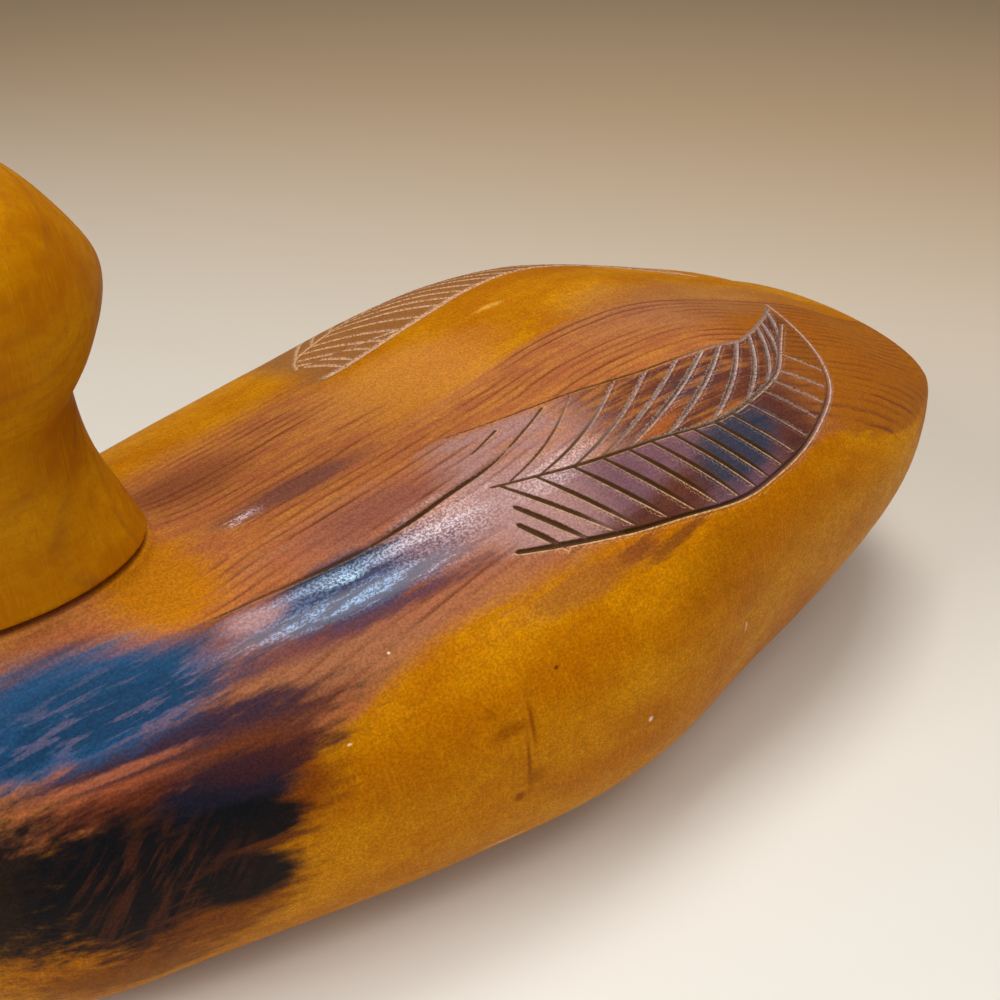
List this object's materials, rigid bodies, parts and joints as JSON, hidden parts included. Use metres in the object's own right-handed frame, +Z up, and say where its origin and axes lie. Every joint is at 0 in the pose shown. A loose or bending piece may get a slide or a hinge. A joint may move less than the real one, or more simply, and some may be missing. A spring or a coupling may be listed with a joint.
{
  "type": "duck decoy",
  "caption": "Carved and lacquered softwood duck decoy with incised feathered wings and a separate glued head, standing on a planed flat underside.",
  "frame": {"origin": "bottom centre of the bounding box, on the planed flat underside", "axes": "+X towards the bill, +Y to the duck's left, +Z up"},
  "size_m": [0.37, 0.1606, 0.1751],
  "materials": {
    "body_wood": "gloss lacquer over shaded stain",
    "head_wood": "gloss lacquer"
  },
  "bodies": {
    "root": {"body": "body_wood", "head": "head_wood"}
  },
  "joints": []
}
